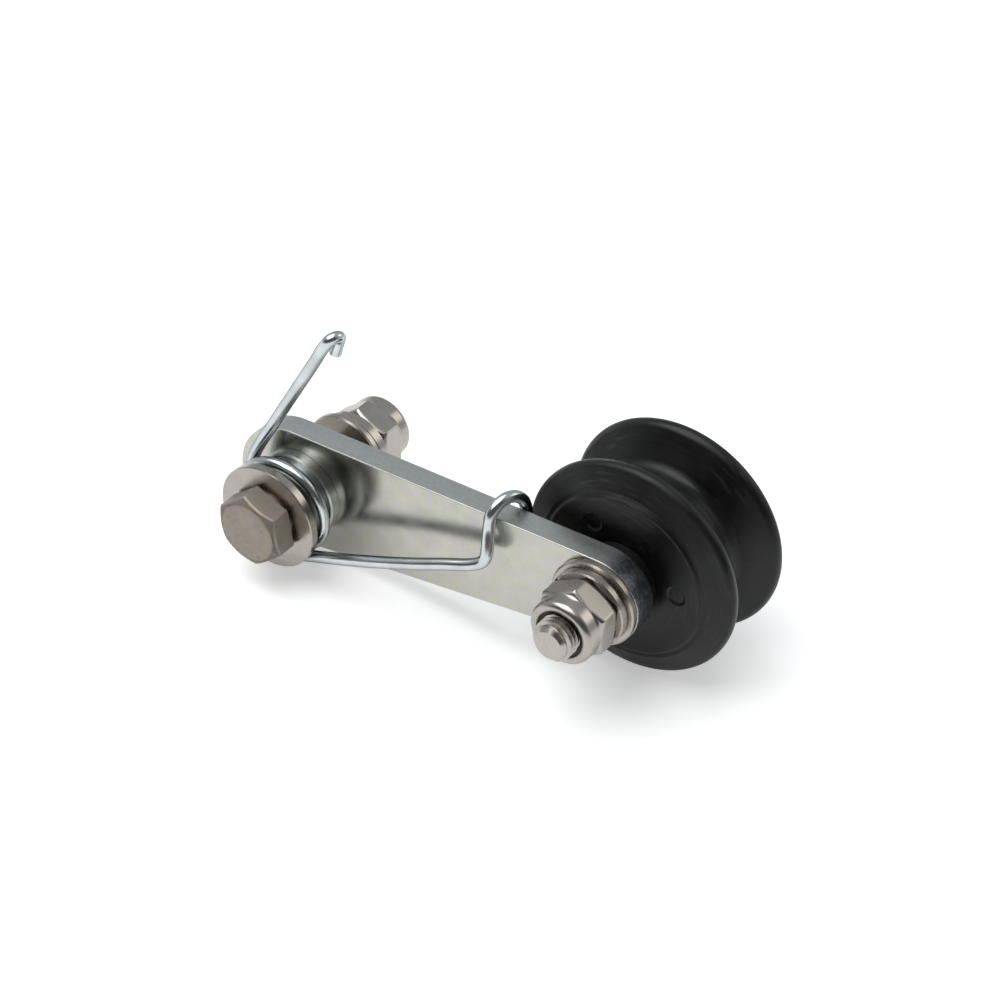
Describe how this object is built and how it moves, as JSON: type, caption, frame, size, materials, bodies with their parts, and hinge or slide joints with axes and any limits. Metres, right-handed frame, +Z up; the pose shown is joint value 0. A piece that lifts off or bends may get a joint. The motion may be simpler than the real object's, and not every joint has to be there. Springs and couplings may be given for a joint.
{
  "type": "bicycle chain tensioner",
  "caption": "Spring-loaded steel arm with a grooved guide roller; it pivots on a bolt clamped to a bicycle frame and presses on the chain to keep it taut.",
  "frame": {"origin": "on the pivot axis, at the rear seat face of the pivot bush where it meets the bicycle frame", "axes": "+Y along the pivot axis from the bush towards the frame and the pivot nut, +Z up as the part lies, +X from the pivot towards the roller"},
  "size_m": [0.1015, 0.0569, 0.0547],
  "materials": {
    "arm_plate": "bright zinc plate, half mirror",
    "spring_wire": "bright blue zinc plate",
    "bush": "turned, zinc plated",
    "stainless": "satin stainless",
    "roller": "moulded, satin",
    "spacer": "turned, matte",
    "insert": "nylon"
  },
  "bodies": {
    "pivot_unit": {"pivot_bolt": "stainless", "front_washer": "stainless", "pivot_bush": "bush", "torsion_spring": "spring_wire", "rear_flat_washer": "stainless", "rear_spring_washer": "stainless", "pivot_nut": "stainless", "pivot_nut_insert": "insert"},
    "arm_unit": {"arm": "arm_plate", "axle_bolt": "stainless", "axle_flat_washer": "stainless", "axle_spring_washer": "stainless", "axle_nut": "stainless", "axle_nut_insert": "insert", "near_spacer": "spacer", "axle_sleeve": "bush", "far_spacer": "spacer", "far_washer": "stainless"},
    "roller_unit": {"roller": "roller"}
  },
  "joints": [
    {"name": "arm_pivot", "type": "hinge", "parent": "pivot_unit", "child": "arm_unit", "pos_m": [0, 0, 0], "axis": [0, -1, 0], "range_deg": [0, 35], "stiffness_Nm_per_rad": 4.2, "deforming": ["torsion_spring"]},
    {"name": "roller_spin", "type": "hinge", "parent": "arm_unit", "child": "roller_unit", "pos_m": [0.0654, 0.0141, 0.00887], "axis": [0, 1, 0], "continuous": true}
  ]
}
